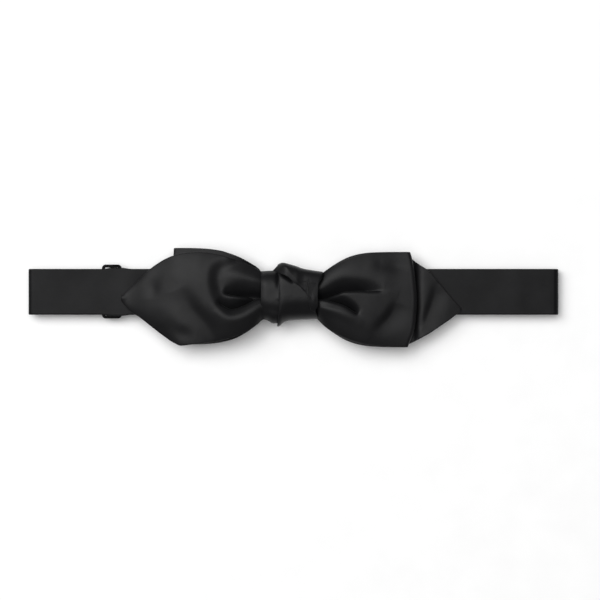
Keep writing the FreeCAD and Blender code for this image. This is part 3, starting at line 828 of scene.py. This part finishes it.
TURN_FOLDS = [
    # the left edge, rolled under
    (2.0, [
        (-6.3, 11.0, 1.1, 1.1, -0.1), (-6.2, 5.0, 1.1, 1.1, -0.45), (-6.1, 0.0, 1.1, 1.1, -0.6),
        (-6.4, -9.0, 1.3, 1.3, -0.5),
    ]),
    # the hollow under the flap's lifted edge
    (2.0, [
        (-4.6, 8.6, 0.7, 0.6, -0.2), (-3.0, 8.0, 0.9, 0.7, -1.3), (-1.4, 7.0, 0.9, 0.7, -1.4),
        (-0.4, 5.9, 0.7, 0.6, -0.5), (0.6, 5.3, 0.7, 0.6, 0.0),
    ]),
    # the slack across the lower face
    (2.0, [(-3.0, -4.0, 2.0, 1.6, -0.1), (2.0, -4.0, 2.0, 1.6, -0.25), (9.0, -4.0, 2.0, 1.6, -0.2)]),
]
FLAP_FOLDS = [
    # the lifted lip: level from its free edge up to this crest, and falling away beyond it
    (1.0, [
        (-4.4, 14.0, 6.0, 4.0, 0.5), (-3.4, 12.6, 6.0, 4.0, 0.7), (-2.5, 11.2, 6.0, 4.0, 0.9),
        (-1.65, 9.75, 6.0, 4.0, 0.9), (-0.4, 8.3, 6.0, 4.0, 0.75), (1.5, 6.1, 6.0, 3.0, 0.5),
        (2.3, 5.1, 5.0, 2.0, 0.3), (4.4, 2.6, 4.0, 1.2, 0.1),
    ]),
    # a curved pinch where the flap tucks in at the right
    (2.0, [
        (8.2, 3.4, 0.6, 0.9, 0.0), (6.9, 1.8, 0.6, 0.9, -0.1), (6.5, 0.0, 0.6, 0.9, -0.14),
        (7.0, -2.0, 0.6, 0.9, -0.05),
    ]),
    # and the pucker beside it
    (2.0, [(7.9, 0.1, 0.5, 0.6, 0.04), (7.8, -0.6, 0.5, 0.6, 0.06)]),
]


def round_knot(x, angle, grow, back, square=SQUARE_TOP):
    """Points round the knot at x: a rounded box in YZ, grown by grow, with its back at height back."""
    top, bottom, front = knot_top(x) + grow, knot_bottom(x) - grow, knot_front(x) + grow
    c, s = np.cos(angle), np.sin(angle)
    power = 2 / np.where(c > 0, square, SQUARE_BOTTOM)
    y = (top + bottom) / 2 + (top - bottom) / 2 * np.sign(c) * np.abs(c) ** power
    widest = back + KNOT_WIDEST * (front - back)
    z = widest + np.where(s > 0, front - widest, widest - back) * np.sign(s) * np.abs(s) ** power
    return y, z


def pushed(middle, lines):
    """The grid with soft folds pushed out of its front."""
    x, y, z = np.moveaxis(middle, 2, 0)
    added = folds(x, y, lines) + KNOT_RIPPLE * ripple(x, y, 2.5, 4)
    return np.dstack([x, y, z + smoothstep(z, FACE_LOW, FACE_HIGH) * added])


def knot_turn(left, right, grow, back, columns=60, rows=220):
    """The mid-surface of a turn round the knot between two edges, each a function of y."""
    angle = np.linspace(0, 2 * np.pi, rows, endpoint=False)[:, None]
    t = crowded(columns)[None, :]
    y_here, _ = round_knot(np.full_like(angle, -1.0), angle, grow, back)
    xs = left(y_here) * (1 - t) + right(y_here) * t
    ys, zs = round_knot(xs, np.repeat(angle, columns, axis=1), grow, back)
    return np.dstack([xs, ys, zs])


def knot_flap(back, rows=130, columns=64):
    """The end of the last turn: from its free edge on the face, over the top and down behind."""
    t = crowded(columns)[None, :]
    s = crowded(rows, 0.6)[:, None]
    left = through([(0.0, -7.8), (0.1, -6.9), (0.25, -5.9), (1.0, -5.4)])(s)
    xs = left + t * (FLAP_RIGHT - left)
    square = flap_square(xs)
    middle = (knot_top(xs) + knot_bottom(xs)) / 2
    half = (knot_top(xs) - knot_bottom(xs)) / 2 + flap_gap(xs)
    level = np.clip((flap_edge(xs) - middle) / half, -1, 1)
    power = np.where(level > 0, square, SQUARE_BOTTOM) / 2
    edge_angle = np.arccos(np.sign(level) * np.abs(level) ** power)
    angle = edge_angle * (1 - s) - FLAP_END * s
    ys, _ = round_knot(xs, angle, flap_gap(xs), back)
    xs = left + t * (turn_right(ys) + FLAP_OVERHANG - left)
    square = flap_square(xs)
    _, zs = round_knot(xs, angle, flap_gap(xs), back, square)
    swollen = flap_swell(xs) * smoothstep(edge_angle - angle, 0.0, 0.5)
    ys, _ = round_knot(xs, angle, flap_gap(xs) + swollen, back, square)
    zs = zs - flap_droop(xs) * smoothstep(zs, FACE_LOW, FACE_HIGH)
    return np.dstack([xs, ys, zs])


def level_edge(x):
    """A turn's edge that stays at x."""
    return lambda y: x + 0 * y


def make_knot():
    """The two turns and the flap."""
    inner_back, outer_back = INNER_BACK + TURN_T / 2, KNOT_BACK + TURN_T / 2
    edges = level_edge(COLLAR_LEFT), level_edge(COLLAR_RIGHT)
    collar = pushed(knot_turn(*edges, -COLLAR_INSIDE, inner_back), COLLAR_FOLDS)
    turn = pushed(knot_turn(turn_left, turn_right, 0.0, outer_back), TURN_FOLDS)
    flap = pushed(knot_flap(outer_back), FLAP_FOLDS)
    pieces = (
        ("knot_inner_turn_silk", collar, TURN_T, True, "knot_inner_turn"),
        ("knot_outer_turn_silk", turn, TURN_T, True, "knot_outer_turn"),
        ("knot_flap_silk", flap, FLAP_T, False, "knot_outer_turn"),
    )
    for name, middle, thickness, ring, node in pieces:
        obj = dress(cloth(name, middle, thickness, ring=ring), SATIN)
        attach(obj, "bow")
        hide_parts(node)


# ---- the band and its hardware --------------------------------------------------------------------


def half_turn(x, z, radius, side, start):
    """Points on a half circle in XZ round (x, z), from the top if start is 1 or the bottom if -1."""
    angle = np.linspace(0, np.pi, 15)[1:-1]
    return [(x + side * radius * math.sin(a), z + start * radius * math.cos(a)) for a in angle]


def run(x0, x1, z0, z1=None, step=1.5):
    count = max(2, int(abs(x1 - x0) / step) + 1)
    z1 = z0 if z1 is None else z1
    return [(x0 + (x1 - x0) * k / (count - 1), z0 + (z1 - z0) * k / (count - 1)) for k in range(count)]


FRONT_ABOVE = FRONT_MID - 0.01  # a strap's points above this are in its front layer

LEFT_WAVES = [
    (2.0, [(-76.0, 14.0, 5.0, 5.0, -0.1), (-83.0, 2.0, 5.0, 5.0, -0.15), (-88.0, -9.0, 5.0, 5.0, -0.1)]),
    (2.0, [(-59.5, 12.0, 4.5, 4.5, 0.2), (-61.5, 3.0, 4.5, 4.5, 0.6), (-61.5, -9.0, 4.5, 4.5, 0.6)]),
]
RIGHT_CREST = [(2.0, [(83.8, 14.0, 3.5, 3.5, 0.15), (84.4, -9.0, 3.5, 3.5, 0.15)])]


def strap(name, path, low=None, high=None, lines=None, columns=30):
    """A pressed satin tube laid along an XZ path; lines are soft folds in its front layer."""
    points = np.array(path)
    t = crowded(columns, 0.9)
    low = np.full(len(points), BAND_LOW) if low is None else low
    high = np.full(len(points), BAND_HIGH) if high is None else high
    ys = low[:, None] * (1 - t) + high[:, None] * t
    xs = np.repeat(points[:, :1], columns, axis=1)
    zs = np.repeat(points[:, 1:], columns, axis=1)
    if lines is not None:
        zs = zs + np.where(zs > FRONT_ABOVE, folds(xs, ys, lines), 0)
    middle = np.dstack([xs, ys, zs])
    obj = dress(cloth(name, middle, BAND_T, round_ends=False), BAND_SATIN)
    return obj, middle


def waist(points):
    """The band's edges along the front layer, gathered where the knot holds it and fuller at the slide."""
    x = np.array(points)[:, 0]
    front = np.array(points)[:, 1] > FRONT_ABOVE
    pinch = np.where(front, 1 - smoothstep(np.abs(x), 12.0, 26.0), 0)
    full = np.where(front, np.exp(-(((x - SLIDE_X - 2.0) / 4.0) ** 4)), 0)
    return BAND_LOW + 0.4 * pinch - 0.45 * full, BAND_HIGH - 2.8 * pinch + 0.4 * full


def left_neckband():
    """The left front layer, its fold and its rear layer."""
    radius = (FRONT_MID - LEFT_REAR) / 2
    path = (
        run(-0.5, LEFT_FOLD[0], FRONT_MID)
        + half_turn(LEFT_FOLD[0], LEFT_FOLD[2], radius, -1, 1)
        + run(LEFT_FOLD[0], RUN_END, LEFT_REAR)
    )
    obj, middle = strap("neckband_left", path, *waist(path), LEFT_WAVES)
    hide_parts("band_front", "left_band_fold", "left_band_rear")
    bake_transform(obj)
    return obj, middle


def right_neckband():
    """The right front layer, its fold, its rear layer and the turn round the eye's bar."""
    radius = (FRONT_MID - RIGHT_REAR) / 2
    eye_radius = EYE_BAR[2] - LOWER_MID
    path = (
        run(0.5, RIGHT_FOLD[0], FRONT_MID)
        + half_turn(RIGHT_FOLD[0], RIGHT_FOLD[2], radius, 1, 1)
        + run(RIGHT_FOLD[0], EYE_BAR[0], RIGHT_REAR)
        + half_turn(EYE_BAR[0], EYE_BAR[2], eye_radius, -1, 1)
        + run(EYE_BAR[0], EYE_TAIL, LOWER_MID)
    )
    obj, middle = strap("neckband_right", path, *waist(path), RIGHT_CREST)
    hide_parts("right_band_fold", "right_band_rear", "eye_turn")
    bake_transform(obj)
    return obj, middle


def loop_upper():
    """The layer from the left strap's rear to the hook's bar."""
    obj, middle = strap("loop_upper_layer_satin", run(RUN_END, HOOK_BAR[0], LEFT_REAR))
    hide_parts("loop_upper_layer")
    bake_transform(obj)
    return obj, middle


def loop_lower():
    """From the stitched end, round the slide's centre bar and back to the turn round the hook's bar."""
    radius = HOOK_BAR[2] - LOWER_MID
    bar_top = WRAP_HIGH[2] - BAND_T / 2
    wrap_left = WRAP_LOW[0] + BAND_T / 2
    closed = SLIDE_X + 2.6  # where the end, having left the bar, lies on the layer below
    lip = WRAP_HIGH[0] - 1.0
    path = (
        run(lip, closed, LOWER_MID + BAND_T)
        + run(closed - 0.2, SLIDE_X + 0.9, LOWER_MID + BAND_T + 0.1, bar_top, 0.25)
        + run(SLIDE_X + 0.6, wrap_left + 0.5, bar_top, step=0.3)
        + [(wrap_left + 0.15, bar_top - 0.15), (wrap_left, bar_top - 0.5), (wrap_left, LOWER_MID + 0.5)]
        + [(wrap_left + 0.15, LOWER_MID + 0.15)]
        + run(wrap_left + 0.5, HOOK_BAR[0], LOWER_MID)
        + half_turn(HOOK_BAR[0], HOOK_BAR[2], radius, 1, -1)
        + [(HOOK_BAR[0], LEFT_REAR)]
    )
    bunched = np.array([math.exp(-(((x - SLIDE_X - 1.5) / 4.5) ** 4)) for x, _ in path])
    low, high = BAND_LOW - 0.25 * bunched, BAND_HIGH + 0.5 * bunched
    obj, middle = strap("loop_lower_layer_satin", path, low, high)
    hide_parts("loop_lower_layer", "hook_turn", "slide_wrap")
    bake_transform(obj)
    return obj, middle


def make_band():
    for obj, middle in [left_neckband(), right_neckband(), loop_upper(), loop_lower()]:
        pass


def finish_node(node, material):
    """Gives a CAD piece its material."""
    obj = frame["nodes"][node]
    obj.data.materials.clear()
    obj.data.materials.append(material)
    return obj


def rounded_metal(node, width):
    """Gives a CAD metal piece its finish and takes the sharpness off its edges."""
    bevel = finish_node(node, LACQUER).modifiers.new("softened_edges", "BEVEL")
    bevel.width = width * MM
    bevel.segments = 3
    bevel.limit_method = "ANGLE"
    bevel.angle_limit = math.radians(40)
    bevel.harden_normals = False


def make_hardware():
    rounded_metal("slide_frame", 0.22)
    rounded_metal("hook", 0.12)
    rounded_metal("eye", 0.12)
    for node in ("knot_stitches", "slide_stitches", "eye_stitches"):
        finish_node(node, THREAD)
    finish_node("knot_core", SATIN)


# ---- camera, light and table ----------------------------------------------------------------------

VIEW_WIDTH = 225.0  # millimetres of table across the picture
VIEW_CENTRE = (2.44, -0.86)  # the picture's centre on the table
CAMERA_HEIGHT = 900.0
LENS = 100.0
FILL = 0.18  # light from all round
BACKDROP = 1.0  # what stands behind the table in low views
TABLE_HALF = 1500.0


def make_camera():
    camera = bpy.data.cameras.new("camera")
    camera.lens = LENS
    camera.sensor_width = LENS * VIEW_WIDTH / (CAMERA_HEIGHT - FRONT_MID)
    camera.clip_start = 0.01
    obj = bpy.data.objects.new("camera", camera)
    obj.location = (VIEW_CENTRE[0] * MM, VIEW_CENTRE[1] * MM, CAMERA_HEIGHT * MM)
    bpy.context.scene.collection.objects.link(obj)
    bpy.context.scene.camera = obj


def softbox(name, place, size, power):
    """An area light at place, in metres, aimed at the tie."""
    light = bpy.data.lights.new(name, "AREA")
    light.shape = "RECTANGLE"
    light.size, light.size_y = size
    light.energy = power
    obj = bpy.data.objects.new(name, light)
    obj.location = place
    obj.rotation_euler = (-Vector(place)).to_track_quat("-Z", "Y").to_euler()
    bpy.context.scene.collection.objects.link(obj)


def make_room():
    corners = [(x * TABLE_HALF, y * TABLE_HALF, 0) for x, y in ((-1, -1), (1, -1), (1, 1), (-1, 1))]
    table = new_object("table", corners, [(0, 1, 2, 3)])
    table.data.materials.append(table_top("pale_board"))
    world = bpy.data.worlds.new("studio")
    world.use_nodes = True
    world.node_tree.nodes["Background"].inputs["Color"].default_value = (1, 1, 1, 1)
    background = world.node_tree.nodes["Background"].inputs["Strength"]
    seen = world.node_tree.nodes.new("ShaderNodeLightPath").outputs["Is Camera Ray"]
    strength = world.node_tree.nodes.new("ShaderNodeMath")
    strength.operation = "MULTIPLY_ADD"
    world.node_tree.links.new(seen, strength.inputs[0])
    strength.inputs[1].default_value = BACKDROP - FILL
    strength.inputs[2].default_value = FILL
    world.node_tree.links.new(strength.outputs[0], background)
    bpy.context.scene.world = world
    softbox("overhead", (-0.25, 0.35, 2.0), (1.7, 1.7), 32.0)
    softbox("key", (-1.1, 0.7, 1.8), (1.3, 1.3), 22.0)
    bpy.context.scene.view_settings.view_transform = "Standard"


make_camera()
make_room()
make_bow()
make_knot()
make_band()
make_hardware()
